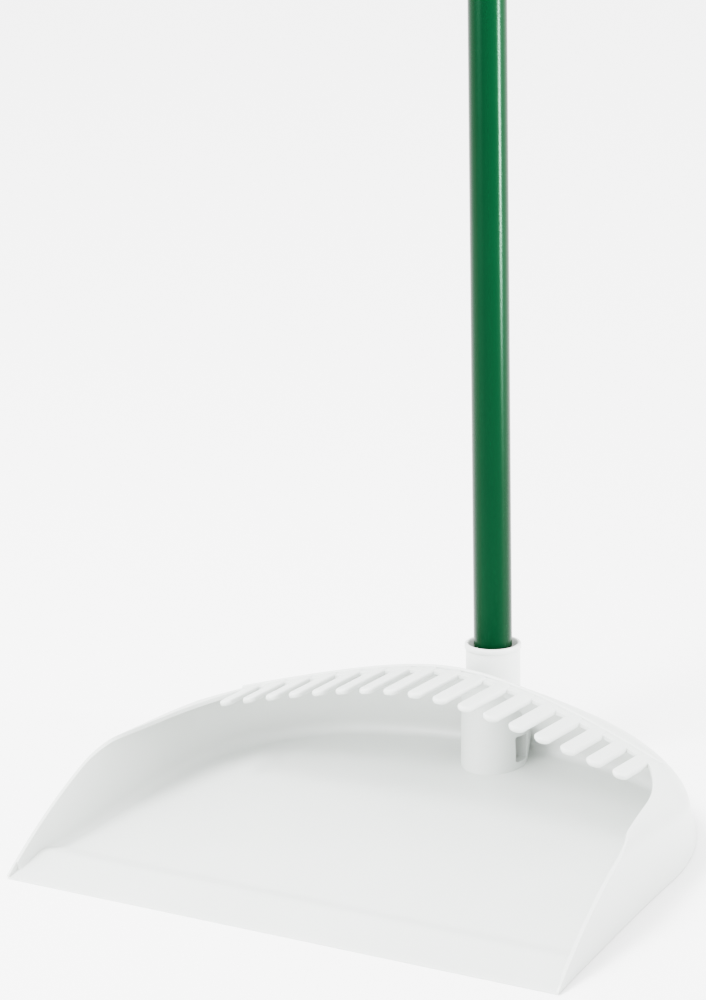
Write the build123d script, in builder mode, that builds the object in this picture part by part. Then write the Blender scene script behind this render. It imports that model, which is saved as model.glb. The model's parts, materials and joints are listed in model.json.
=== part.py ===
"""Long-handled dust pan: one pan moulding, a screw-in steel handle and a swivelling hanging cap.

Frame: +Z up, +Y from the front lip towards the back wall, +X to the right of someone who
looks along +Y. The origin is the middle of the pan's flat underside. The sketches below count
Y from the front lip's edge, and every piece is moved back by floor_centre_y as it is written.
"""

from build123d import *
from math import asin, cos, degrees, radians, sin, tan
import os

os.makedirs("parts", exist_ok=True)

# ---------------------------------------------------------------- driving dimensions, mm
# pan, seen from above
lip_half_width = 206.0        # half of the front lip
side_half_width = 195.5       # half width where the sides turn into the corners
corner_start_x = 102.0        # where the corner arcs meet the back arc
corner_start_y = 288.0
pan_depth = 304.5             # front lip to the middle of the back wall, at the floor
floor_centre_y = 150.0        # front lip to the origin
wall_flare = 1.0              # degrees that every wall leans outward
back_lean = 35.0              # degrees that the middle of the back wall leans forward
wall_thick = 2.4
floor_thick = 2.6
floor_fillet = 14.0           # inside radius between floor and wall

# front ramp
ramp_depth = 48.0             # lip edge to the flat floor
ramp_crest_y = 34.0
ramp_crest_z = 7.6
lip_edge = 1.2                # thickness of the lip's edge
ramp_thick = 2.4

# rim and hood
side_rim = ((0.0, 3.2), (64.0, 36.8), (140.0, 58.5))   # arc of the side wall's top edge (Y, Z)
hood_slope = 6.5              # degrees that the hood rises towards the front
hood_crown_z = 90.0           # top of the hood's crown over the comb's tips
hood_crown_radius = 230.0     # crown of the hood from side to side
hood_fall = 15.0              # degrees that it falls on each side of the crown
hood_thick = 2.4
hood_inset = 14.0             # the hood's side and back edges, inside the pan's outline
hood_edge_y = 226.5           # front edge of the hood at the middle, where the comb starts
hood_edge_side = (150.0, 211.0)
opening_half_width = 180.0    # inner edge of the rolled rim on each side
bead_y = 235.0                # raised bead on the hood, at the middle
bead_radius = 675.0
bead_width = 3.0
bead_height = 1.2
bead_span = 316.0

# comb on the hood's front edge
tooth_count = 17
tooth_pitch = 18.7
tooth_width = 10.4
tooth_tip_y = 180.0
tooth_thick = 2.4

# handle socket
socket_foot_y = 268.0         # where the socket's axis meets the ground
handle_lean = 7.5             # degrees that the handle leans back
boss_radius = 22.0
collar_radius = 18.0
collar_top = 85.0             # all heights along the socket's axis are from the ground
collar_lip_height = 4.0
collar_lip_radius = 18.7
socket_mouth_radius = 16.0
socket_seat = 31.5            # shoulder that the handle's tip seats on
socket_seat_radius = 13.4
socket_base = 5.0             # closed bottom of the threaded bore
window_width = 13.0
window_bottom = 6.5
window_top = 24.0

# screw thread, 3/4 inch with five turns to the inch
thread_pitch = 5.08
tip_core_radius = 7.0
tip_crest_radius = 9.4
nut_bore_radius = 9.9
nut_crest_radius = 7.9

# handle
tube_radius = 12.7
tube_wall = 0.7
tube_length = 720.0
tip_gap = 0.4                 # tip flange over the socket's seat
flange_height = 3.0
tip_reach = 24.0              # threaded length below the flange
plug_length = 30.0            # part of the tip inside the tube

# hanging cap
cap_skirt = 34.0
cap_radius = 14.6
cap_clearance = 0.35
cap_roof = 3.0
eye_height = 34.0
eye_half_width = 13.5
eye_thick = 8.0
eye_hole_radius = 6.5

# ---------------------------------------------------------------- worked out from them
flare = tan(radians(wall_flare))
sagitta = pan_depth - corner_start_y
back_radius = (corner_start_x**2 + sagitta**2) / (2 * sagitta)
corner_turn = asin(corner_start_x / back_radius)
corner_radius = (side_half_width - corner_start_x) / (1 - sin(corner_turn))
side_end_y = corner_start_y - corner_radius * cos(corner_turn)

socket_origin = Vector(0, socket_foot_y, 0)
socket_axis = Vector(0, sin(radians(handle_lean)), cos(radians(handle_lean)))
socket_frame = Plane(origin=socket_origin, x_dir=(1, 0, 0), z_dir=socket_axis)
hood_run = Vector(0, -cos(radians(hood_slope)), sin(radians(hood_slope)))

tall = 130.0                  # taller than any part of the pan
wide = 260.0                  # wider than half of the pan


def socket_plane(height):
    """Plane across the socket's axis, at a height along it."""
    return socket_frame.offset(height)


def pan_outline(inset):
    """The D-shaped plan of the pan, pulled in by inset and carried past the lip."""
    with BuildSketch() as sketch:
        with BuildLine():
            lip_right = (lip_half_width, 0.0)
            past_right = (lip_half_width + 7.0, -60.0)
            side_right = (side_half_width, side_end_y)
            corner_right = (corner_start_x, corner_start_y)
            turn = (radians(90.0) - corner_turn) / 2
            centre = (side_half_width - corner_radius, side_end_y)
            middle = (centre[0] + corner_radius * cos(turn), centre[1] + corner_radius * sin(turn))
            side_arc = TangentArc(side_right, lip_right, tangent=(0, -1))
            Line(lip_right, past_right)
            ThreePointArc(side_right, middle, corner_right)
            ThreePointArc(corner_right, (0, pan_depth), (-corner_start_x, corner_start_y))
            corner_left = (-corner_start_x, corner_start_y)
            side_left = (-side_half_width, side_end_y)
            ThreePointArc(corner_left, (-middle[0], middle[1]), side_left)
            mirror(side_arc, about=Plane.YZ)
            Line((-lip_right[0], 0.0), (-past_right[0], past_right[1]))
            Line((-past_right[0], past_right[1]), past_right)
        make_face()
        if inset:
            offset(amount=-inset)
    return sketch.sketch


def pan_block(inset, bottom):
    """Solid with the pan's flared outline, from bottom upwards, cut off at the lip."""
    with BuildPart() as block:
        with BuildSketch(Plane.XY.offset(bottom)):
            add(pan_outline(inset - bottom * flare))
        extrude(amount=tall - bottom, taper=-wall_flare)
        if bottom:
            fillet(block.faces().sort_by(Axis.Z)[0].edges(), floor_fillet)
        with BuildSketch(Plane.XY):
            with Locations((0, -100)):
                Rectangle(2 * wide, 200)
        extrude(amount=tall, mode=Mode.SUBTRACT)
    return block.part


def lean_cone(inset):
    """Upright cone through the back arc, which makes the back wall lean forward."""
    foot_radius = back_radius - inset / cos(radians(back_lean))
    with BuildPart() as cone:
        with Locations((0, pan_depth - back_radius, 0)):
            top_radius = foot_radius - tall * tan(radians(back_lean))
            Cone(foot_radius, top_radius, tall, align=(Align.CENTER, Align.CENTER, Align.MIN))
    return cone.part


def arch_slab(top_drop, thick):
    """Slab under the crowned, sloping surface of the hood; top_drop is how far its top is below it."""
    turn = radians(hood_fall)
    knee_x = hood_crown_radius * sin(turn)
    knee_drop = hood_crown_radius * (1 - cos(turn))
    eave_drop = knee_drop + (wide - knee_x) * tan(turn)
    behind = 200.0
    back_z = hood_crown_z - behind * tan(radians(hood_slope))
    slab_plane = Plane(origin=(0, tooth_tip_y + behind, back_z), x_dir=(1, 0, 0), z_dir=hood_run)
    with BuildPart() as slab:
        with BuildSketch(slab_plane):
            with BuildLine():
                left, right = (-wide, -eave_drop - top_drop), (wide, -eave_drop - top_drop)
                left_knee, right_knee = (-knee_x, -knee_drop - top_drop), (knee_x, -knee_drop - top_drop)
                Line(left, left_knee)
                ThreePointArc(left_knee, (0, -top_drop), right_knee)
                Polyline(right_knee, right, (wide, -eave_drop - top_drop - thick))
                low_left, low_right = (-knee_x, left_knee[1] - thick), (knee_x, right_knee[1] - thick)
                Line((wide, -eave_drop - top_drop - thick), low_right)
                ThreePointArc(low_right, (0, -top_drop - thick), low_left)
                Polyline(low_left, (-wide, -eave_drop - top_drop - thick), left)
            make_face()
        extrude(amount=600)
    return slab.part


def envelope(inset, bottom):
    """The pan as a full block under the hood's surface, with its back wall leaning forward."""
    with BuildPart() as block:
        add(pan_block(inset, bottom))
        add(arch_slab(inset, 200.0), mode=Mode.INTERSECT)
        add(lean_cone(inset), mode=Mode.INTERSECT)
    return block.part


def below_side_rim():
    """All the space under the side walls' sloping top edges, and everything behind them."""
    with BuildPart() as below:
        with BuildSketch(Plane.YZ.offset(-wide)):
            with BuildLine():
                start, middle, end = side_rim
                ThreePointArc(start, middle, end)
                Polyline(end, (end[0] + 30, tall), (400, tall), (400, -1), (start[0], -1), start)
            make_face()
        extrude(amount=2 * wide)
    return below.part


def hood_area():
    """Plan area of the hood: everything behind the curved front edge where the comb starts."""
    with BuildSketch() as area:
        with BuildLine():
            side_x, side_y = hood_edge_side
            edge = ThreePointArc((-side_x, side_y), (0, hood_edge_y), (side_x, side_y))
            right = Line(edge @ 1, edge @ 1 + (edge % 1) * 90)
            left = Line(edge @ 0, edge @ 0 - (edge % 0) * 90)
            Polyline(left @ 1, (left @ 1) + (0, 300), (right @ 1) + (0, 300), right @ 1)
        make_face()
    return area.sketch


def prism(area):
    """Tall upright solid on a plan area."""
    with BuildPart() as block:
        add(area)
        extrude(amount=tall)
    return block.part


def socket_body():
    """Outer shape of the boss under the hood, with its sloping bottom cut at the ground."""
    with BuildPart() as body:
        with BuildSketch(socket_plane(-8.0)):
            Circle(boss_radius)
        extrude(amount=collar_top)
        add(arch_slab(hood_thick, 200.0), mode=Mode.INTERSECT)
        add(outer_block, mode=Mode.INTERSECT)
        with BuildSketch(socket_plane(30.0)):
            Circle(collar_radius)
        extrude(amount=collar_top - 30.0)
        with BuildSketch(Plane.XY.offset(-40.0)):
            Rectangle(2 * wide, 4 * wide)
        extrude(amount=40.0, mode=Mode.SUBTRACT)
    return body.part


def thread_ridge(start, height, root, crest, root_width, crest_width):
    """Right-hand helical ridge about the socket's axis, between two radii."""
    foot = socket_origin + socket_axis * start
    with BuildPart() as ridge:
        with BuildLine():
            path = Helix(thread_pitch, height, root, center=foot, direction=socket_axis)
        outward = (path @ 0) - foot
        with BuildSketch(Plane(origin=path @ 0, x_dir=outward, z_dir=path % 0)):
            half_root, half_crest, depth = root_width / 2, crest_width / 2, crest - root
            Polygon(
                (0, -half_root), (depth, -half_crest), (depth, half_crest), (0, half_root), align=None
            )
        sweep(path=path.edges()[0], is_frenet=True)
    return ridge.part


outer_block = envelope(0.0, 0.0)
inner_block = envelope(wall_thick, floor_thick)
hood_plan = prism(hood_area())
socket_outside = socket_body()

# ---------------------------------------------------------------- shell
with BuildPart() as shell:
    add(outer_block)
    add(inner_block, mode=Mode.SUBTRACT)
    add(below_side_rim(), mode=Mode.INTERSECT)
    with BuildSketch(Plane.XY.offset(floor_thick + 8.0)):
        with Locations((0, -50.0)):
            Rectangle(2 * opening_half_width, 300.0, align=(Align.CENTER, Align.MIN))
        add(hood_area(), mode=Mode.SUBTRACT)
    extrude(amount=tall, mode=Mode.SUBTRACT)

# ---------------------------------------------------------------- hood
with BuildPart() as hood:
    with BuildSketch(Plane.XY.offset(30.0)):
        add(pan_outline(hood_inset))
    extrude(amount=tall)
    add(hood_plan, mode=Mode.INTERSECT)
    add(shell.part, mode=Mode.INTERSECT)
    add(socket_outside, mode=Mode.SUBTRACT)

with BuildPart() as hood_bead:
    with BuildSketch():
        with Locations((0, bead_y - bead_radius)):
            Circle(bead_radius + bead_width / 2)
            Circle(bead_radius - bead_width / 2, mode=Mode.SUBTRACT)
        with Locations((0, bead_y)):
            Rectangle(bead_span, 150, mode=Mode.INTERSECT)
    extrude(amount=tall)
    add(arch_slab(-bead_height, bead_height), mode=Mode.INTERSECT)

# ---------------------------------------------------------------- comb
comb_reach = 60.0
with BuildPart() as comb_teeth:
    with BuildSketch():
        with Locations((0, tooth_tip_y)):
            with GridLocations(tooth_pitch, 1, tooth_count, 1):
                Circle(tooth_width / 2)
                Rectangle(tooth_width, comb_reach, align=(Align.CENTER, Align.MIN))
        add(hood_area(), mode=Mode.SUBTRACT)
    extrude(amount=tall)
    add(arch_slab(0.0, tooth_thick), mode=Mode.INTERSECT)

# ---------------------------------------------------------------- front ramp
ramp_slope = (ramp_crest_z - lip_edge) / ramp_crest_y
with BuildPart() as lip_wedge:
    with BuildSketch(Plane.YZ.offset(-wide)):
        Polygon(
            (-1, lip_edge), (0, lip_edge), (ramp_crest_y, ramp_crest_z), (-1, ramp_crest_z), align=None
        )
    extrude(amount=2 * wide)
    add(pan_block(wall_thick, 0.0), mode=Mode.INTERSECT)

# ---------------------------------------------------------------- walls
with BuildPart() as all_walls:
    add(shell.part)
    add(hood.part, mode=Mode.SUBTRACT)
    add(lip_wedge.part, mode=Mode.SUBTRACT)
    with BuildSketch():
        add(pan_outline(wall_thick + floor_fillet + 1.0))
    extrude(amount=floor_thick, mode=Mode.SUBTRACT)
    add(socket_outside, mode=Mode.SUBTRACT)


def wall_region(centre_x, centre_y, width, depth):
    """The part of the walls over one rectangle of the plan."""
    with BuildPart() as region:
        with BuildSketch():
            with Locations((centre_x, centre_y)):
                Rectangle(width, depth)
        extrude(amount=tall)
        add(all_walls.part, mode=Mode.INTERSECT)
    return region.part


corner_y = 150.0
back_x = 100.0
deep = 400.0
side_wall_left = wall_region(-back_x - deep / 2, corner_y - deep / 2, deep, deep)
side_wall_right = wall_region(back_x + deep / 2, corner_y - deep / 2, deep, deep)
corner_wall_left = wall_region(-back_x - deep / 2, corner_y + deep / 2, deep, deep)
corner_wall_right = wall_region(back_x + deep / 2, corner_y + deep / 2, deep, deep)
back_wall = wall_region(0, corner_y + deep / 2, 2 * back_x, deep)

# ---------------------------------------------------------------- floor
with BuildPart() as pan_floor:
    with BuildSketch():
        add(pan_outline(wall_thick + floor_fillet + 1.0))
        with Locations((0, ramp_depth)):
            Rectangle(2 * wide, deep, align=(Align.CENTER, Align.MIN), mode=Mode.INTERSECT)
    extrude(amount=floor_thick)
    add(socket_outside, mode=Mode.SUBTRACT)

with BuildPart() as front_ramp:
    with BuildSketch(Plane.YZ.offset(-wide)):
        under = ramp_thick / cos(radians(12.0))
        toe = (under - lip_edge) / ramp_slope
        Polygon(
            (0, 0), (0, lip_edge), (ramp_crest_y, ramp_crest_z), (ramp_depth, floor_thick),
            (ramp_depth, 0), (ramp_crest_y, ramp_crest_z - under), (toe, 0), align=None
        )
    extrude(amount=2 * wide)
    add(outer_block, mode=Mode.INTERSECT)
    add(all_walls.part, mode=Mode.SUBTRACT)

# ---------------------------------------------------------------- handle socket
section = Plane(origin=socket_origin, x_dir=(1, 0, 0), z_dir=(0, -socket_axis.Z, socket_axis.Y))
with BuildPart() as handle_socket:
    add(socket_outside)
    with BuildSketch(socket_plane(collar_top - collar_lip_height)):
        Circle(collar_lip_radius)
    extrude(amount=collar_lip_height)
    with BuildSketch(section):
        Polygon(
            (0, socket_base), (nut_bore_radius, socket_base), (nut_bore_radius, socket_seat),
            (socket_seat_radius, socket_seat), (socket_mouth_radius, collar_top + 1), (0, collar_top + 1),
            align=None
        )
    revolve(axis=Axis(socket_origin, socket_axis), mode=Mode.SUBTRACT)
    ridge_start = socket_base + 1.2 + thread_pitch / 2
    add(thread_ridge(ridge_start, 3.5 * thread_pitch, nut_bore_radius + 0.3, nut_crest_radius, 2.8, 1.8))
    window_plane = Plane(origin=socket_origin, x_dir=(0, socket_axis.Z, -socket_axis.Y), z_dir=(1, 0, 0))
    with BuildSketch(window_plane.offset(-2 * boss_radius)):
        with Locations((0, (window_bottom + window_top) / 2)):
            RectangleRounded(window_width, window_top - window_bottom, 1.5)
    extrude(amount=4 * boss_radius, mode=Mode.SUBTRACT)

# ---------------------------------------------------------------- handle
flange_bottom = socket_seat + tip_gap
tube_bottom = flange_bottom + flange_height
tube_top = tube_bottom + tube_length
tube_bore = tube_radius - tube_wall
with BuildPart() as threaded_tip:
    with BuildSketch(section):
        Polygon(
            (0, flange_bottom - tip_reach), (tip_core_radius - 1, flange_bottom - tip_reach),
            (tip_core_radius, flange_bottom - tip_reach + 1), (tip_core_radius, flange_bottom),
            (tube_radius, flange_bottom), (tube_radius, tube_bottom), (tube_bore, tube_bottom),
            (tube_bore, tube_bottom + plug_length - 2), (tube_bore - 1.5, tube_bottom + plug_length),
            (0, tube_bottom + plug_length), align=None
        )
    revolve(axis=Axis(socket_origin, socket_axis))
    tip_start = ridge_start - thread_pitch / 2 + thread_pitch
    add(thread_ridge(tip_start, 3.6 * thread_pitch, tip_core_radius - 0.3, tip_crest_radius, 3.0, 1.6))

with BuildPart() as handle_tube:
    with BuildSketch(socket_plane(tube_bottom)):
        Circle(tube_radius)
        Circle(tube_bore, mode=Mode.SUBTRACT)
    extrude(amount=tube_length)

cap_bore = tube_radius + cap_clearance
cap_bottom = tube_top + cap_clearance - cap_skirt
cap_top = tube_top + cap_clearance + cap_roof
with BuildPart() as hang_cap:
    with BuildSketch(section):
        Polygon(
            (cap_bore, cap_bottom), (cap_radius, cap_bottom), (cap_radius, cap_top - 2.5),
            (cap_radius - 2.5, cap_top), (0, cap_top), (0, tube_top + cap_clearance),
            (cap_bore, tube_top + cap_clearance), align=None
        )
    revolve(axis=Axis(socket_origin, socket_axis))
    with BuildSketch(section.offset(-eye_thick / 2)):
        with Locations((0, cap_top - 1)):
            Rectangle(2 * eye_half_width, eye_height - eye_half_width, align=(Align.CENTER, Align.MIN))
        with Locations((0, cap_top - 1 + eye_height - eye_half_width)):
            Circle(eye_half_width)
            Circle(eye_hole_radius, mode=Mode.SUBTRACT)
    extrude(amount=eye_thick)

pieces = {
    "pan_floor": pan_floor.part,
    "front_ramp": front_ramp.part,
    "side_wall_left": side_wall_left,
    "side_wall_right": side_wall_right,
    "corner_wall_left": corner_wall_left,
    "corner_wall_right": corner_wall_right,
    "back_wall": back_wall,
    "hood": hood.part,
    "hood_bead": hood_bead.part,
    "comb_teeth": comb_teeth.part,
    "handle_socket": handle_socket.part,
    "threaded_tip": threaded_tip.part,
    "handle_tube": handle_tube.part,
    "hang_cap": hang_cap.part,
}
for name, drawn in pieces.items():
    piece = Pos(0, -floor_centre_y, 0) * drawn
    piece.label = name
    export_step(piece, f"parts/{name}.step")
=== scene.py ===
import bpy
import json
from math import asin, atan2, cos, hypot, pi, radians, sin, sqrt, tan
from mathutils import Matrix, Vector

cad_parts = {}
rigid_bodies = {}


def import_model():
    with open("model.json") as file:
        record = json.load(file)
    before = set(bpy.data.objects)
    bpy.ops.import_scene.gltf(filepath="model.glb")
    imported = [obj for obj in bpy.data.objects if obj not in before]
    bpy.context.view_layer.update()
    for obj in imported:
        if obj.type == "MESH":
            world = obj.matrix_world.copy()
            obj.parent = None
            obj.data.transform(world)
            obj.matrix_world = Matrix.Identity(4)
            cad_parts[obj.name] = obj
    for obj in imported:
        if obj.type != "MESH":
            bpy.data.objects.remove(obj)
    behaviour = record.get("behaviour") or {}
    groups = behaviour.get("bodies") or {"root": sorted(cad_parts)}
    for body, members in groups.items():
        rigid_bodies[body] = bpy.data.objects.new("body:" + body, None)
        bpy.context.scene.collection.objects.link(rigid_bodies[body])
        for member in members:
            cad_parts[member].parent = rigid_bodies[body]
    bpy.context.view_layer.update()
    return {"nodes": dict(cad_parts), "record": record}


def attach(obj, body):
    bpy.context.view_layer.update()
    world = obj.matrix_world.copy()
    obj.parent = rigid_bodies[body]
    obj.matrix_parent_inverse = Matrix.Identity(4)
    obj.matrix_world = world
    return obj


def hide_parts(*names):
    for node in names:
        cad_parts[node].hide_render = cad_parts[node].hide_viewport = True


mm = 0.001
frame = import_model()
record = frame["record"]
joints = {joint["name"]: joint for joint in record["behaviour"]["joints"]}


def deselectAll():
    for item in bpy.context.view_layer.objects:
        item.select_set(False)


def activate(piece):
    deselectAll()
    piece.select_set(True)
    bpy.context.view_layer.objects.active = piece


def freeze(piece):
    # puts the object's own move and turn in to its mesh
    activate(piece)
    bpy.ops.object.transform_apply(location=True, rotation=True, scale=True)


def addModifier(piece, kind, **settings):
    activate(piece)
    modifier = piece.modifiers.new(kind.lower(), kind)
    for key, value in settings.items():
        setattr(modifier, key, value)
    bpy.ops.object.modifier_apply(modifier=modifier.name)


def combine(piece, tool, operation):
    addModifier(piece, "BOOLEAN", operation=operation, object=tool, solver="EXACT")
    bpy.data.objects.remove(tool, do_unlink=True)


def joinPieces(pieces, name):
    activate(pieces[0])
    for piece in pieces[1:]:
        piece.select_set(True)
    bpy.ops.object.join()
    bpy.context.object.name = name
    return bpy.context.object


def pickFaces(piece, test):
    # selects the faces that pass, with edit mode open afterwards
    activate(piece)
    bpy.ops.object.mode_set(mode="EDIT")
    bpy.ops.mesh.select_mode(type="FACE")
    bpy.ops.mesh.select_all(action="DESELECT")
    bpy.ops.object.mode_set(mode="OBJECT")
    for face in piece.data.polygons:
        face.select = test(face)
    bpy.ops.object.mode_set(mode="EDIT")


def pickEdges(piece, test):
    activate(piece)
    bpy.ops.object.mode_set(mode="EDIT")
    bpy.ops.mesh.select_mode(type="EDGE")
    bpy.ops.mesh.select_all(action="DESELECT")
    bpy.ops.object.mode_set(mode="OBJECT")
    points = piece.data.vertices
    for edge in piece.data.edges:
        edge.select = test(points[edge.vertices[0]].co, points[edge.vertices[1]].co)
    bpy.ops.object.mode_set(mode="EDIT")


def smoothStep(low, high, value):
    part = min(max((value - low) / (high - low), 0.0), 1.0)
    return part * part * (3 - 2 * part)


camera = {
    "aim": (-0.0790, 0.0974, 0.1865),
    "azimuth": 34.325,
    "elevation": 21.716,
    "roll": -5.319,
    "distance": 3.31,
    "lens": 181.944,
    "sensor": 36.0,
}


def placeCamera():
    azimuth, elevation, roll = (radians(camera[k]) for k in ("azimuth", "elevation", "roll"))
    right = Vector((cos(azimuth), sin(azimuth), 0))
    forward = Vector((-sin(azimuth) * cos(elevation), cos(azimuth) * cos(elevation), -sin(elevation)))
    up = right.cross(forward)
    rolledRight = right * cos(roll) + up * sin(roll)
    rolledUp = up * cos(roll) - right * sin(roll)
    place = Matrix((rolledRight, rolledUp, -forward)).transposed().to_4x4()
    place.translation = Vector(camera["aim"]) - forward * camera["distance"]
    data = bpy.data.cameras.new("camera")
    data.sensor_fit = "VERTICAL"
    data.sensor_height = camera["sensor"]
    data.lens = camera["lens"]
    eye = bpy.data.objects.new("camera", data)
    eye.matrix_world = place
    bpy.context.collection.objects.link(eye)
    bpy.context.scene.camera = eye
    print("camera placed")


# sizes of the pan moulding in mm; Y is counted from the front lip until the piece is finished
pan = {
    "lipHalf": 205.8, "sideHalf": 195.3, "cornerX": 102.0, "cornerY": 287.0, "depth": 303.5,
    "lipToOrigin": 150.0,
    "wall": 2.4, "floor": 2.6, "bottomRound": 1.8, "flare": 0.03,
    "fillet": (3.0, 0.025, 12.0),                   # inside radius at the lip, its gain with Y, and its limit
    "rimStart": 2.8, "rimRise": 0.67, "rimBend": 0.0019,   # side wall's top edge: z = start + rise*y - bend*y^2
    "crownZ": 89.2, "crownY": 180.0, "slope": 6.5, "crownWide": 60.0, "fall": 16.7,
    "shoulderFront": (7.0, 9.0), "shoulderBack": (15.0, 13.0),  # how far the top rolls in, and down
    "leanFrom": 196.0, "leanGain": 0.0066,                      # the back wall leans in more towards the middle
    "openingInset": 5.0, "openingFrom": 105.0, "openingGain": 0.2,
    "hoodEdge": 226.5, "hoodEdgeSide": (150.0, 211.0),
    "sideEnd": 159.0, "sideCurve": 1.3,             # the sides' plan: where it turns straight, and its curve
    "rimEnd": 165.0, "noRim": 200.0,                # behind rimEnd the wall runs up to the hood
    "hoodEdgeHalf": 190.0, "widestInset": 120.0, "insetStep": 0.25,
    "columns": 150, "rows": 46, "smoothing": 3,
}
# points on the foot, wall and shoulder of a section, and how far over the hood it reaches
wallLine = {"foot": 12, "wall": 24, "shoulder": 40, "reach": 140.0, "settle": 4}
comb = {
    "count": 17, "pitch": 18.7, "width": 10.4, "tip": 177.5, "back": 236.0, "root": 8.0,
    "thick": 4.2, "proud": 0.7, "round": 1.7, "cuts": 6, "cutGap": 9.0,
}
bead = {"y": 235.0, "radius": 675.0, "halfSpan": 160.0, "width": 3.2, "height": 1.5}
ramp = {"crestY": 34.0, "crestZ": 7.6, "endY": 48.0, "lip": 1.3, "round": 4.0}


def outlineHalf():
    # right half of the D-shaped plan, from the lip to the middle of the back, with inward normals
    cornerX, cornerY, side, depth = (pan[k] for k in ("cornerX", "cornerY", "sideHalf", "depth"))
    sagitta = depth - cornerY
    backRadius = (cornerX**2 + sagitta**2) / (2 * sagitta)
    turn = asin(cornerX / backRadius)
    cornerRadius = (side - cornerX) / (1 - sin(turn))
    sideEnd = cornerY - cornerRadius * cos(turn)
    spread = pan["lipHalf"] - side
    sideLength = hypot(sideEnd, spread)
    cornerLength = cornerRadius * (pi / 2 - turn)
    backLength = backRadius * turn
    total = sideLength + cornerLength + backLength
    points = []
    for column in range(pan["columns"] + 1):
        reach = total * column / pan["columns"]
        if reach < sideLength:
            y = sideEnd * reach / sideLength
            half = side + spread * (1 - y / sideEnd)**pan["sideCurve"]
            points.append((Vector((half, y, 0)), Vector((-1, 0, 0))))
        elif reach < sideLength + cornerLength:
            angle = (reach - sideLength) / cornerRadius
            out = Vector((cos(angle), sin(angle), 0))
            points.append((Vector((side - cornerRadius, sideEnd, 0)) + out * cornerRadius, -out))
        else:
            angle = pi / 2 - turn + (reach - sideLength - cornerLength) / backRadius
            out = Vector((cos(angle), sin(angle), 0))
            points.append((Vector((0, depth - backRadius, 0)) + out * backRadius, -out))
    return points


def hoodHeight(x, y):
    # crowned hood, higher towards its front edge
    crown = tan(radians(pan["fall"])) * (hypot(x, pan["crownWide"]) - pan["crownWide"])
    return pan["crownZ"] - (y - pan["crownY"]) * tan(radians(pan["slope"])) - crown


def hoodEdgeY(x):
    sideX, sideY = pan["hoodEdgeSide"]
    sag = pan["hoodEdge"] - sideY
    radius = (sideX**2 + sag**2) / (2 * sag)
    return pan["hoodEdge"] - radius + sqrt(radius**2 - min(abs(x), pan["hoodEdgeHalf"])**2)


def sideX(y):
    # half width of the pan's foot over its straight sides
    spread = pan["lipHalf"] - pan["sideHalf"]
    return pan["sideHalf"] + spread * max(1 - y / pan["sideEnd"], 0)**pan["sideCurve"]


def rolls(y):
    # how far the shoulder rolls in and down, from the front of the sides to the back
    part = smoothStep(100.0, 260.0, y)
    return [a + (b - a) * part for a, b in zip(pan["shoulderFront"], pan["shoulderBack"])]


def shoulderFoot(foot):
    # height where the wall starts to roll in
    return hoodHeight(foot.x, foot.y) - rolls(foot.y)[1]


def openingInset(foot, inward):
    # how far in from the outline the opening's edge lies
    inset = pan["openingInset"] + pan["openingGain"] * max(foot.y - pan["openingFrom"], 0)
    while foot.y + inward.y * inset > hoodEdgeY(foot.x + inward.x * inset) and inset < pan["widestInset"]:
        inset += pan["insetStep"]
    return inset


def fullLine(foot, inward, skin, bottom, fillet):
    # one line from the floor up the wall and in over the hood, a skin's thickness inside the outline
    rollIn, base = rolls(foot.y)[0], shoulderFoot(foot)
    lean = max(foot.y - pan["leanFrom"], 0) * pan["leanGain"]
    side = skin * hypot(1, lean)
    low = bottom + fillet
    line = []
    for step in range(wallLine["foot"] + 1):
        turn = pi / (2 * wallLine["foot"]) * step
        up = bottom + fillet * (1 - cos(turn))
        line.append((side + fillet * (1 - sin(turn)) + lean * up, up))
    for step in range(1, wallLine["wall"] + 1):
        up = low + (base - low) * step / wallLine["wall"]
        line.append((side + lean * up, up))
    for step in range(1, wallLine["shoulder"] + 1):
        turn = pi / (2 * wallLine["shoulder"]) * step
        roll = side + (rollIn - side) * (1 - cos(turn))
        up = base
        for again in range(wallLine["settle"]):
            spot = foot + inward * (roll + lean * up)
            up = base + (hoodHeight(spot.x, spot.y) - skin - base) * sin(turn)
        line.append((roll + lean * up, up))
    reach = line[-1][0]
    while reach < wallLine["reach"]:
        reach += 1.0
        spot = foot + inward * reach
        line.append((reach, hoodHeight(spot.x, spot.y) - skin))
    return line


def wallSection(foot, inward, inset):
    # closed section of the wall: its outside from the floor to the rim, then its inside back down
    rim = pan["rimStart"] + pan["rimRise"] * foot.y - pan["rimBend"] * foot.y**2
    if foot.y >= pan["rimEnd"]:
        rim = pan["noRim"]
    base = shoulderFoot(foot)
    line = fullLine(foot, inward, 0.0, 0.0, pan["bottomRound"])
    outside = [line[0]]
    for before, after in zip(line, line[1:]):
        part = 1.0
        if after[1] > rim:
            part = (rim - before[1]) / (after[1] - before[1])
        if after[0] > inset and after[1] > base:
            part = min(part, (inset - before[0]) / (after[0] - before[0]))
        outside.append(tuple(a + (b - a) * part for a, b in zip(before, after)))
        if part < 1.0:
            break
    run, rise = (b - a for a, b in zip(outside[-2], outside[-1]))
    size = hypot(run, rise)
    end = (outside[-1][0] + pan["wall"] * rise / size, outside[-1][1] - pan["wall"] * run / size)
    start, gain, most = pan["fillet"]
    fillet = min(start + gain * foot.y, most, max(rim - pan["floor"] - 0.1, 0.2))
    line = fullLine(foot, inward, pan["wall"], pan["floor"], fillet)
    nearest = min(range(len(line)), key=lambda k: hypot(line[k][0] - end[0], line[k][1] - end[1]))
    inside = line[:max(nearest, 1)] + [end]
    flare = pan["flare"] * (1 - smoothStep(150.0, 280.0, foot.y))
    loop = evenly(outside, pan["rows"]) + evenly(inside, pan["rows"])[::-1]
    return [(reach - flare * up, up) for reach, up in loop]


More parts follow.
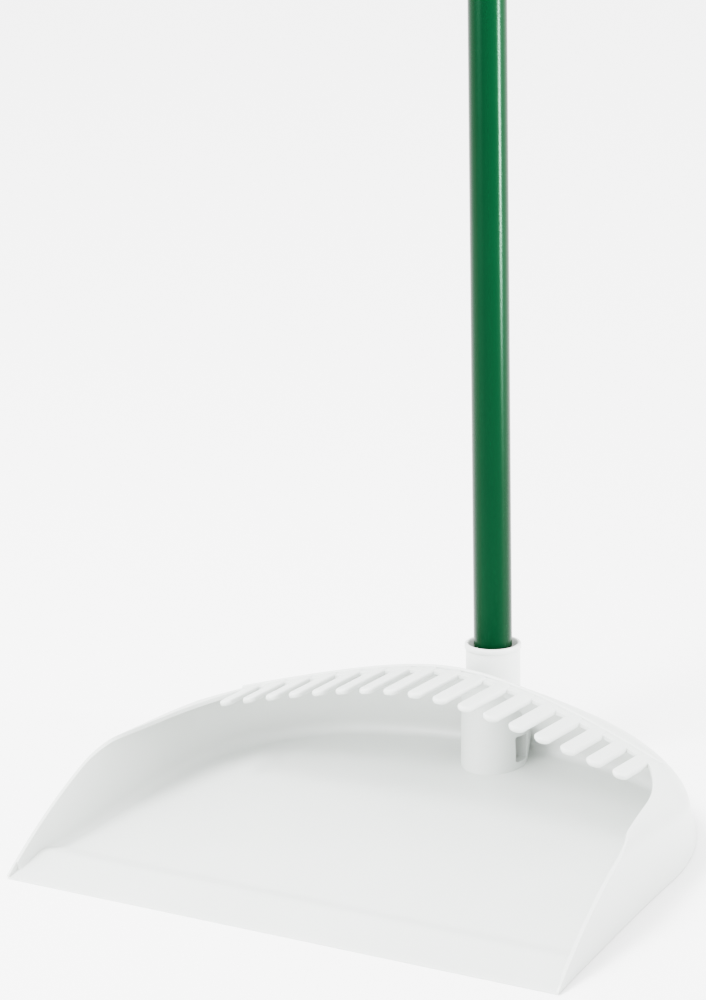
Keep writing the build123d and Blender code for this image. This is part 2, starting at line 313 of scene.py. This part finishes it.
def evenly(line, count):
    # the same line with its points at even distances
    lengths = [0.0]
    for a, b in zip(line, line[1:]):
        lengths.append(lengths[-1] + hypot(b[0] - a[0], b[1] - a[1]))
    spots, k = [], 0
    for index in range(count):
        want = lengths[-1] * index / (count - 1)
        while k < len(lengths) - 2 and lengths[k + 1] < want:
            k += 1
        part = (want - lengths[k]) / max(lengths[k + 1] - lengths[k], 1e-9)
        spots.append(tuple(a + (b - a) * part for a, b in zip(line[k], line[k + 1])))
    return spots


def panShell():
    half = outlineHalf()
    insets = [openingInset(foot, inward) for foot, inward in half]
    near = pan["smoothing"]
    windows = [insets[max(k - near, 0):k + near + 1] for k in range(len(half))]
    insets = [sum(window) / len(window) for window in windows]
    sections = []
    for (foot, inward), inset in zip(half, insets):
        loop = wallSection(foot, inward, inset)
        sections.append([foot + inward * reach + Vector((0, 0, up)) for reach, up in loop])
    mirrored = [[Vector((-p.x, p.y, p.z)) for p in section] for section in sections[:-1]]
    around = mirrored + sections[::-1]
    wide, high = len(around), len(around[0])
    bpy.ops.mesh.primitive_grid_add(x_subdivisions=wide - 1, y_subdivisions=high - 1, size=1)
    shell = bpy.context.object
    shell.name = "panMoulding"
    for index, point in enumerate(shell.data.vertices):
        point.co = around[index % wide][index // wide]
    pickEdges(shell, lambda a, b: a.z < 1e-4 and b.z < 1e-4)
    bpy.ops.mesh.edge_face_add()
    bpy.ops.object.mode_set(mode="OBJECT")
    lastRow = {index for index in range(wide * (high - 1), wide * high)}
    activate(shell)
    for edge in shell.data.edges:
        edge.select = edge.vertices[0] in lastRow and edge.vertices[1] in lastRow
    bpy.ops.object.mode_set(mode="EDIT")
    bpy.ops.mesh.edge_face_add()
    bpy.ops.mesh.select_all(action="DESELECT")
    bpy.ops.mesh.select_non_manifold()
    bpy.ops.mesh.edge_face_add()
    bpy.ops.mesh.select_all(action="SELECT")
    bpy.ops.mesh.normals_make_consistent(inside=False)
    bpy.ops.object.mode_set(mode="OBJECT")
    return shell


def stripProfile(name, corners):
    # a solid with a side-on outline that ends inside the side walls
    bpy.ops.mesh.primitive_circle_add(vertices=len(corners), radius=1, fill_type="NGON")
    strip = bpy.context.object
    strip.name = name
    for point, (y, z) in zip(strip.data.vertices, corners):
        point.co = (-1, y, z)
    bpy.ops.object.mode_set(mode="EDIT")
    bpy.ops.mesh.select_all(action="SELECT")
    bpy.ops.mesh.extrude_region_move(TRANSFORM_OT_translate={"value": (2, 0, 0)})
    bpy.ops.mesh.select_all(action="SELECT")
    bpy.ops.mesh.normals_make_consistent(inside=False)
    bpy.ops.object.mode_set(mode="OBJECT")
    for point in strip.data.vertices:
        point.co.x *= sideX(max(point.co.y, 0)) - pan["wall"] / 2
    return strip


def addRamp(shell):
    crestY, crestZ, endY, lip = (ramp[k] for k in ("crestY", "crestZ", "endY", "lip"))
    rise = (crestZ - lip) / crestY
    cut = stripProfile("lipCut", [(-5, lip - 5 * rise), (9, lip + 9 * rise), (9, 12), (-5, 12)])
    combine(shell, cut, "DIFFERENCE")
    fallen = (crestZ - pan["floor"]) / (endY - crestY)
    top = [(0.0, lip)]
    for step in range(9):
        along = -1 + step / 4
        bend = ramp["round"] / 2 * (1 - abs(along))**2
        slope = rise if along < 0 else fallen
        drop = abs(along) * ramp["round"] * slope + bend * (rise + fallen) / 2
        top.append((crestY + along * ramp["round"], crestZ - drop))
    top += [(endY - 2, pan["floor"] + 0.9), (endY, pan["floor"] + 0.3), (endY + 3, pan["floor"] - 0.2)]
    body = stripProfile("frontRamp", [(endY + 3, 1.0), (0.0, 0.5)] + top)
    combine(shell, body, "UNION")
    print("front ramp")


def drape(piece, lift):
    for point in piece.data.vertices:
        point.co.z += hoodHeight(point.co.x, point.co.y) + lift


def addComb(shell):
    teeth = []
    for index in range(comb["count"]):
        x = (index - (comb["count"] - 1) / 2) * comb["pitch"]
        back = min(comb["back"], hoodEdgeY(x) + comb["root"])
        length = back - comb["tip"]
        bpy.ops.mesh.primitive_cube_add(size=1, location=(x, comb["tip"] + length / 2, 0))
        tooth = bpy.context.object
        tooth.scale = (comb["width"], length, comb["thick"])
        freeze(tooth)
        half = comb["width"] / 2
        pickEdges(tooth, lambda a, b: abs(a.z - b.z) > 1)
        bpy.ops.mesh.bevel(offset=half * 0.98, segments=8, affect="EDGES", clamp_overlap=True)
        bpy.ops.object.mode_set(mode="OBJECT")
        pickEdges(tooth, lambda a, b: abs(a.z - b.z) < 0.1 and abs(abs(a.z) - comb["thick"] / 2) < 0.1)
        bpy.ops.mesh.bevel(offset=comb["round"], segments=4, affect="EDGES", clamp_overlap=True)
        bpy.ops.object.mode_set(mode="OBJECT")
        teeth.append(tooth)
    whole = joinPieces(teeth, "comb")
    pickFaces(whole, lambda face: True)
    for line in range(1, comb["cuts"] + 1):
        bpy.ops.mesh.select_all(action="SELECT")
        spot = comb["tip"] + line * comb["cutGap"]
        bpy.ops.mesh.bisect(plane_co=(0, spot, 0), plane_no=(0, 1, 0))
    bpy.ops.object.mode_set(mode="OBJECT")
    drape(whole, comb["proud"] - comb["thick"] / 2)
    combine(shell, whole, "UNION")
    print("comb of", comb["count"], "teeth")


def addBead(shell):
    sweep = asin(bead["halfSpan"] / bead["radius"])
    bpy.ops.mesh.primitive_circle_add(vertices=12, radius=0.5, fill_type="NGON", rotation=(0, pi / 2, 0))
    ridge = bpy.context.object
    ridge.scale = (bead["height"] * 2, bead["width"], 1)
    ridge.location = (0, bead["y"], 0)
    freeze(ridge)
    centre = (0, bead["y"] - bead["radius"], 0)
    bpy.ops.object.mode_set(mode="EDIT")
    bpy.ops.mesh.select_all(action="SELECT")
    bpy.ops.mesh.delete(type="ONLY_FACE")
    bpy.ops.mesh.select_all(action="SELECT")
    bpy.ops.mesh.spin(steps=90, angle=sweep, center=centre, axis=(0, 0, 1))
    bpy.ops.object.mode_set(mode="OBJECT")
    other = ridge.copy()
    other.data = ridge.data.copy()
    bpy.context.collection.objects.link(other)
    other.scale = (-1, 1, 1)
    freeze(other)
    ridge = joinPieces([ridge, other], "hoodBead")
    bpy.ops.object.mode_set(mode="EDIT")
    bpy.ops.mesh.select_all(action="SELECT")
    bpy.ops.mesh.remove_doubles(threshold=0.02)
    bpy.ops.mesh.select_all(action="SELECT")
    bpy.ops.mesh.fill_holes(sides=0)
    bpy.ops.mesh.select_all(action="SELECT")
    bpy.ops.mesh.normals_make_consistent(inside=False)
    bpy.ops.object.mode_set(mode="OBJECT")
    drape(ridge, 0.0)
    combine(shell, ridge, "UNION")
    print("bead along the hood")


# heights along the handle's axis, from the ground
socket = {
    "boss": 22.0, "collar": 18.0, "collarTop": 85.0, "lipHeight": 4.0, "lipRadius": 18.7,
    "mouth": 16.0, "seat": 31.5, "seatRadius": 13.4, "base": 5.0, "bore": 9.9,
    "windowWidth": 13.0, "windowBottom": 6.5, "windowTop": 24.0,
    "bossFoot": -8.0, "bossTop": 66.0, "collarFoot": 12.0, "floorFace": 0.6, "roofFrom": 40.0,
}
axis = Vector(joints["handle_turn"]["axis"]).normalized()
seatPoint = Vector(joints["handle_turn"]["pos_m"])
lean = atan2(axis.y, axis.z)
foot = (seatPoint - axis * socket["seat"] * mm) / mm + Vector((0, pan["lipToOrigin"], 0))


def lathe(name, outline, steps=96):
    # a solid of revolution about Z from (radius, height) corners
    bpy.ops.mesh.primitive_circle_add(vertices=len(outline), radius=1)
    turned = bpy.context.object
    turned.name = name
    for point, (r, z) in zip(turned.data.vertices, outline):
        point.co = (r, 0, z)
    bpy.ops.object.mode_set(mode="EDIT")
    bpy.ops.mesh.select_all(action="SELECT")
    bpy.ops.mesh.spin(steps=steps, angle=2 * pi, center=(0, 0, 0), axis=(0, 0, 1))
    bpy.ops.mesh.select_all(action="SELECT")
    bpy.ops.mesh.remove_doubles(threshold=1e-4)
    bpy.ops.mesh.select_all(action="SELECT")
    bpy.ops.mesh.delete_loose(use_verts=True, use_edges=True, use_faces=False)
    bpy.ops.mesh.select_all(action="SELECT")
    bpy.ops.mesh.normals_make_consistent(inside=False)
    bpy.ops.object.mode_set(mode="OBJECT")
    return turned


def leanOn(piece, origin):
    piece.rotation_euler = (-lean, 0, 0)
    piece.location = origin
    freeze(piece)


def cutPlane(piece, spot, normal):
    # keeps what lies on the normal's side
    activate(piece)
    bpy.ops.object.mode_set(mode="EDIT")
    bpy.ops.mesh.select_all(action="SELECT")
    bpy.ops.mesh.bisect(plane_co=spot, plane_no=normal, use_fill=True, clear_inner=True)
    bpy.ops.object.mode_set(mode="OBJECT")


def roofHeight(x, y):
    # top of the hood, or of the leaning wall behind it, near the middle
    lean = (pan["depth"] - pan["leanFrom"]) * pan["leanGain"]
    return min(hoodHeight(x, y), (pan["depth"] - y) / lean) - 1.0


def addSocket(shell):
    s = socket
    top, lipFoot = s["collarTop"], s["collarTop"] - s["lipHeight"]
    bossFoot, bossTop = s["bossFoot"], s["bossTop"]
    boss = lathe("boss", [(0, bossFoot), (s["boss"], bossFoot), (s["boss"], bossTop), (0, bossTop)])
    leanOn(boss, foot)
    cutPlane(boss, (0, 0, s["floorFace"]), (0, 0, 1))
    # the boss ends inside the hood's own thickness
    for point in boss.data.vertices:
        if point.co.z > s["roofFrom"]:
            point.co.z = roofHeight(point.co.x, point.co.y) - pan["wall"] / 2
    combine(shell, boss, "UNION")
    collar = lathe("collar", [
        (0, s["collarFoot"]), (s["collar"], s["collarFoot"]), (s["collar"], lipFoot),
        (s["lipRadius"] - 0.3, lipFoot + 0.3),
        (s["lipRadius"], lipFoot + 0.8), (s["lipRadius"], top - 0.9), (s["lipRadius"] - 0.25, top - 0.3),
        (s["lipRadius"] - 0.9, top), (0, top),
    ])
    leanOn(collar, foot)
    combine(shell, collar, "UNION")
    bore = lathe("bore", [
        (0, s["base"]), (s["bore"], s["base"]), (s["bore"], s["seat"]), (s["seatRadius"], s["seat"]),
        (s["mouth"] - 0.1, top - 1.0), (s["mouth"] + 0.9, top + 0.2), (s["mouth"] + 0.9, top + 3),
        (0, top + 3),
    ])
    leanOn(bore, foot)
    combine(shell, bore, "DIFFERENCE")
    bpy.ops.mesh.primitive_cube_add(size=1, location=(0, 0, (s["windowBottom"] + s["windowTop"]) / 2))
    window = bpy.context.object
    window.scale = (60, s["windowWidth"], s["windowTop"] - s["windowBottom"])
    freeze(window)
    pickEdges(window, lambda a, b: abs(a.x - b.x) > 1)
    bpy.ops.mesh.bevel(offset=1.6, segments=4, affect="EDGES")
    bpy.ops.object.mode_set(mode="OBJECT")
    leanOn(window, foot)
    combine(shell, window, "DIFFERENCE")
    print("handle socket")


def finishPan(shell):
    for point in shell.data.vertices:
        point.co = (point.co - Vector((0, pan["lipToOrigin"], 0))) * mm
    addModifier(shell, "BEVEL", width=0.0007, segments=2, limit_method="ANGLE", angle_limit=radians(40),
                use_clamp_overlap=True, harden_normals=False)
    activate(shell)
    bpy.ops.object.shade_smooth_by_angle(angle=radians(38))
    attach(shell, "pan")
    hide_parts("pan_floor", "front_ramp", "side_wall_left", "side_wall_right", "corner_wall_left",
                "corner_wall_right", "back_wall", "hood", "hood_bead", "comb_teeth", "handle_socket")
    print("pan moulding", len(shell.data.polygons), "faces")


handle = {"radius": 12.7, "wall": 0.7, "bottom": 34.9, "length": 720.0}
cap = {
    "radius": 14.6, "skirt": 34.0, "clearance": 0.35, "roof": 3.0, "eyeHeight": 34.0, "eyeHalf": 13.5,
    "eyeThick": 8.0, "hole": 6.5,
}


def makeTube():
    low, high, outer = handle["bottom"], handle["bottom"] + handle["length"], handle["radius"]
    inner = outer - handle["wall"]
    tube = lathe("handleTube", [
        (inner, low), (outer - 0.2, low), (outer, low + 0.25), (outer, high - 0.25),
        (outer - 0.2, high), (inner, high),
    ], 128)
    leanOn(tube, foot)
    return tube


def makeCap():
    c = cap
    tubeTop = handle["bottom"] + handle["length"]
    roofLow = tubeTop + c["clearance"]
    roofHigh = roofLow + c["roof"]
    skirtLow = tubeTop - c["skirt"]
    inner = handle["radius"] + 0.3
    body = lathe("hangCap", [
        (0, roofLow), (inner, roofLow), (inner, skirtLow), (c["radius"] - 0.5, skirtLow),
        (c["radius"], skirtLow + 0.5), (c["radius"], roofHigh - 2.2), (c["radius"] - 0.6, roofHigh - 0.7),
        (c["radius"] - 2.2, roofHigh), (0, roofHigh),
    ])
    bpy.ops.mesh.primitive_cube_add(size=1, location=(0, 0, roofHigh - 1 + c["eyeHeight"] / 2))
    eye = bpy.context.object
    eye.scale = (2 * c["eyeHalf"], c["eyeThick"], c["eyeHeight"])
    freeze(eye)
    pickEdges(eye, lambda a, b: abs(a.y - b.y) > 1 and a.z > roofHigh + 5)
    bpy.ops.mesh.bevel(offset=c["eyeHalf"] * 0.99, segments=14, affect="EDGES")
    bpy.ops.object.mode_set(mode="OBJECT")
    pickEdges(eye, lambda a, b: abs(a.y - b.y) < 0.01 and abs(abs(a.y) - c["eyeThick"] / 2) < 0.01)
    bpy.ops.mesh.bevel(offset=1.6, segments=4, affect="EDGES")
    bpy.ops.object.mode_set(mode="OBJECT")
    combine(body, eye, "UNION")
    holeUp = roofHigh - 1 + c["eyeHeight"] - c["eyeHalf"]
    bpy.ops.mesh.primitive_cylinder_add(
        vertices=48, radius=c["hole"], depth=30, location=(0, 0, holeUp), rotation=(pi / 2, 0, 0)
    )
    hole = bpy.context.object
    freeze(hole)
    combine(body, hole, "DIFFERENCE")
    leanOn(body, foot)
    return body


def finishOnHandle(piece, body, nodes, bevel):
    for point in piece.data.vertices:
        point.co = (point.co - Vector((0, pan["lipToOrigin"], 0))) * mm
    if bevel:
        addModifier(piece, "BEVEL", width=bevel * mm, segments=3, limit_method="ANGLE", angle_limit=radians(35))
    activate(piece)
    bpy.ops.object.shade_smooth_by_angle(angle=radians(35))
    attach(piece, body)
    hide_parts(*nodes)
    print(piece.name, "done")


def nodeGroup(name, inputs, outputs):
    group = bpy.data.node_groups.new(name, "ShaderNodeTree")
    for label, value in inputs.items():
        group.interface.new_socket(label, in_out="INPUT", socket_type="NodeSocketFloat").default_value = value
    for label in outputs:
        group.interface.new_socket(label, in_out="OUTPUT", socket_type="NodeSocketFloat")
    return group, group.nodes.new("NodeGroupInput"), group.nodes.new("NodeGroupOutput")


def noise(tree, place, scale, detail=3.0, roughness=0.5, stretch=None):
    node = tree.nodes.new("ShaderNodeTexNoise")
    node.inputs["Scale"].default_value = scale
    node.inputs["Detail"].default_value = detail
    node.inputs["Roughness"].default_value = roughness
    if stretch:
        mapping = tree.nodes.new("ShaderNodeMapping")
        mapping.inputs["Scale"].default_value = stretch
        tree.links.new(place, mapping.inputs["Vector"])
        place = mapping.outputs["Vector"]
    tree.links.new(place, node.inputs["Vector"])
    return node.outputs["Fac"]


def remap(tree, value, low, high, toLow, toHigh):
    node = tree.nodes.new("ShaderNodeMapRange")
    for key, number in (("From Min", low), ("From Max", high), ("To Min", toLow), ("To Max", toHigh)):
        node.inputs[key].default_value = number
    tree.links.new(value, node.inputs["Value"])
    return node.outputs["Result"]


def calculate(tree, kind, a, b):
    node = tree.nodes.new("ShaderNodeMath")
    node.operation = kind
    for socketOf, value in zip(node.inputs, (a, b)):
        if isinstance(value, (int, float)):
            socketOf.default_value = value
        else:
            tree.links.new(value, socketOf)
    return node.outputs["Value"]


def scuffGroup():
    # fine straight scratches in two directions, broken up in patches
    group, inside, outside = nodeGroup("scuffs", {"Density": 0.5}, ["Mask"])
    place = group.nodes.new("ShaderNodeTexCoord").outputs["Object"]
    along = noise(group, place, 60, 2, 0.6, (1.0, 14.0, 6.0))
    across = noise(group, place, 70, 2, 0.6, (12.0, 1.0, 6.0))
    patch = remap(group, noise(group, place, 9, 2), 0.45, 0.65, 0.0, 1.0)
    alongLines = remap(group, along, 0.66, 0.72, 0, 1)
    acrossLines = remap(group, across, 0.67, 0.73, 0, 1)
    lines = calculate(group, "MAXIMUM", alongLines, acrossLines)
    worn = calculate(group, "MULTIPLY", calculate(group, "MULTIPLY", lines, patch), inside.outputs["Density"])
    group.links.new(worn, outside.inputs["Mask"])
    return group


def grainGroup():
    # moulded or sprayed surface: broad unevenness under a fine grain
    group, inside, outside = nodeGroup("surfaceGrain", {"Fine": 0.5, "Broad": 0.5}, ["Height", "Shade"])
    place = group.nodes.new("ShaderNodeTexCoord").outputs["Object"]
    fine = noise(group, place, 1400, 2)
    broad = noise(group, place, 22, 2)
    height = calculate(
        group, "ADD", calculate(group, "MULTIPLY", fine, inside.outputs["Fine"]),
        calculate(group, "MULTIPLY", broad, inside.outputs["Broad"]),
    )
    group.links.new(height, outside.inputs["Height"])
    group.links.new(noise(group, place, 6, 3), outside.inputs["Shade"])
    return group


scuffs = scuffGroup()
grain = grainGroup()


def useGroup(tree, group, **values):
    node = tree.nodes.new("ShaderNodeGroup")
    node.node_tree = group
    for key, value in values.items():
        node.inputs[key].default_value = value
    return node


def mixColors(tree, mask, first, second):
    node = tree.nodes.new("ShaderNodeMix")
    node.data_type = "RGBA"
    tree.links.new(mask, node.inputs["Factor"])
    # sockets 6 and 7 are the node's two colours
    for place, value in zip(node.inputs[6:8], (first, second)):
        if isinstance(value, tuple):
            place.default_value = (*value, 1)
        else:
            tree.links.new(value, place)
    return node.outputs[2]


def surface(name, look):
    material = bpy.data.materials.new(name)
    material.use_nodes = True
    tree = material.node_tree
    shader = tree.nodes["Principled BSDF"]
    for key, value in look["shader"].items():
        shader.inputs[key].default_value = value
    marks = useGroup(tree, scuffs, Density=look["scuffs"])
    texture = useGroup(tree, grain, Fine=look["fine"], Broad=look["broad"])
    shade = remap(tree, texture.outputs["Shade"], 0.3, 0.7, 0.0, 1.0)
    base = mixColors(tree, shade, look["dark"], look["light"])
    tree.links.new(mixColors(tree, marks.outputs["Mask"], base, look["mark"]), shader.inputs["Base Color"])
    low, high = look["rough"]
    rough = calculate(tree, "ADD", remap(tree, texture.outputs["Shade"], 0.3, 0.7, low, high),
                 calculate(tree, "MULTIPLY", marks.outputs["Mask"], look["markRough"]))
    tree.links.new(rough, shader.inputs["Roughness"])
    bump = tree.nodes.new("ShaderNodeBump")
    bump.inputs["Strength"].default_value = look["bump"]
    bump.inputs["Distance"].default_value = 0.0002
    scored = calculate(tree, "MULTIPLY", marks.outputs["Mask"], 0.4)
    depth = calculate(tree, "SUBTRACT", texture.outputs["Height"], scored)
    tree.links.new(depth, bump.inputs["Height"])
    tree.links.new(bump.outputs["Normal"], shader.inputs["Normal"])
    return material


milkyPlastic = {
    "shader": {
        "Subsurface Weight": 0.25, "Subsurface Radius": (1.0, 0.95, 0.9), "Subsurface Scale": 0.004,
        "IOR": 1.49, "Specular IOR Level": 0.45, "Coat Weight": 0.08, "Coat Roughness": 0.25,
    },
    "dark": (0.525, 0.552, 0.532), "light": (0.565, 0.588, 0.572), "mark": (0.62, 0.64, 0.625),
    "rough": (0.36, 0.46), "scuffs": 0.35, "markRough": 0.18, "fine": 0.35, "broad": 0.8, "bump": 0.25,
}
greenCoat = {
    "shader": {"IOR": 1.45, "Specular IOR Level": 0.09, "Specular Tint": (0.22, 1.0, 0.55, 1.0)},
    "dark": (0.0, 0.0100, 0.0027), "light": (0.0002, 0.0118, 0.0033), "mark": (0.001, 0.016, 0.005),
    "rough": (0.2, 0.26), "scuffs": 0.15, "markRough": 0.15, "fine": 0.25, "broad": 1.2, "bump": 0.12,
}
nylonTip = {
    "shader": {
        "Subsurface Weight": 0.15, "Subsurface Radius": (1.0, 0.9, 0.8), "Subsurface Scale": 0.002, "IOR": 1.53,
    },
    "dark": (0.70, 0.71, 0.68), "light": (0.76, 0.77, 0.74), "mark": (0.62, 0.63, 0.60),
    "rough": (0.38, 0.5), "scuffs": 0.4, "markRough": 0.1, "fine": 0.6, "broad": 0.5, "bump": 0.3,
}
capPlastic = {
    "shader": {"IOR": 1.45, "Specular IOR Level": 0.1, "Specular Tint": (0.3, 1.0, 0.6, 1.0)},
    "dark": (0.0, 0.0115, 0.0034), "light": (0.0002, 0.0135, 0.0041), "mark": (0.001, 0.02, 0.007),
    "rough": (0.30, 0.40), "scuffs": 0.4, "markRough": 0.2, "fine": 0.7, "broad": 0.8, "bump": 0.25,
}


def dress(piece, material):
    piece.data.materials.clear()
    piece.data.materials.append(material)


placeCamera()
deselectAll()
shell = panShell()
print("shell", len(shell.data.polygons), "faces")
addRamp(shell)
addComb(shell)
addBead(shell)
addSocket(shell)
finishPan(shell)
tube = makeTube()
finishOnHandle(tube, "handle", ["handle_tube"], 0)
hangCap = makeCap()
finishOnHandle(hangCap, "cap", ["hang_cap"], 0.5)
dress(shell, surface("milkyPlastic", milkyPlastic))
dress(tube, surface("greenCoat", greenCoat))
dress(hangCap, surface("capPlastic", capPlastic))
tip = frame["nodes"]["threaded_tip"]
dress(tip, surface("nylonTip", nylonTip))
print("materials on")


studio = {"floor": 30.0, "floorColor": (0.96, 0.96, 0.96), "horizon": 2.6, "zenith": 5.8}
softboxes = {
    "key": {
        "place": (-0.9, -1.0, 3.0), "aim": (0, 0.05, 0.12), "size": (1.2, 1.2), "power": 330.0, "spread": 180,
    },
    "front": {
        "place": (-0.9, -2.2, 0.8), "aim": (0, 0.1, 0.05), "size": (1.2, 0.8), "power": 15.0, "spread": 60,
    },
    "streak": {
        "place": (1.18, 0.38, 0.47), "aim": (0, 0.2, 0.7), "size": (0.07, 0.85), "power": 26.0, "spread": 60,
    },
}


def lightStudio():
    bpy.ops.mesh.primitive_plane_add(size=studio["floor"], location=(0, 0, 0))
    ground = bpy.context.object
    ground.name = "studioFloor"
    paint = bpy.data.materials.new("studioFloor")
    paint.use_nodes = True
    shader = paint.node_tree.nodes["Principled BSDF"]
    shader.inputs["Base Color"].default_value = (*studio["floorColor"], 1)
    shader.inputs["Roughness"].default_value = 0.7
    dress(ground, paint)
    world = bpy.data.worlds.new("studio")
    world.use_nodes = True
    tree = world.node_tree
    coords = tree.nodes.new("ShaderNodeTexCoord")
    split = tree.nodes.new("ShaderNodeSeparateXYZ")
    tree.links.new(coords.outputs["Generated"], split.inputs[0])
    sky = remap(tree, split.outputs["Z"], 0.0, 0.9, studio["horizon"], studio["zenith"])
    tree.nodes["Background"].inputs["Color"].default_value = (1, 1, 1, 1)
    tree.links.new(sky, tree.nodes["Background"].inputs["Strength"])
    bpy.context.scene.world = world
    for name, box in softboxes.items():
        light = bpy.data.lights.new(name, "AREA")
        light.shape = "RECTANGLE"
        light.size, light.size_y = box["size"]
        light.energy = box["power"]
        light.spread = radians(box["spread"])
        lamp = bpy.data.objects.new(name, light)
        lamp.location = box["place"]
        lamp.rotation_euler = (Vector(box["aim"]) - lamp.location).to_track_quat("-Z", "Y").to_euler()
        bpy.context.collection.objects.link(lamp)
    print("studio lit")


lightStudio()
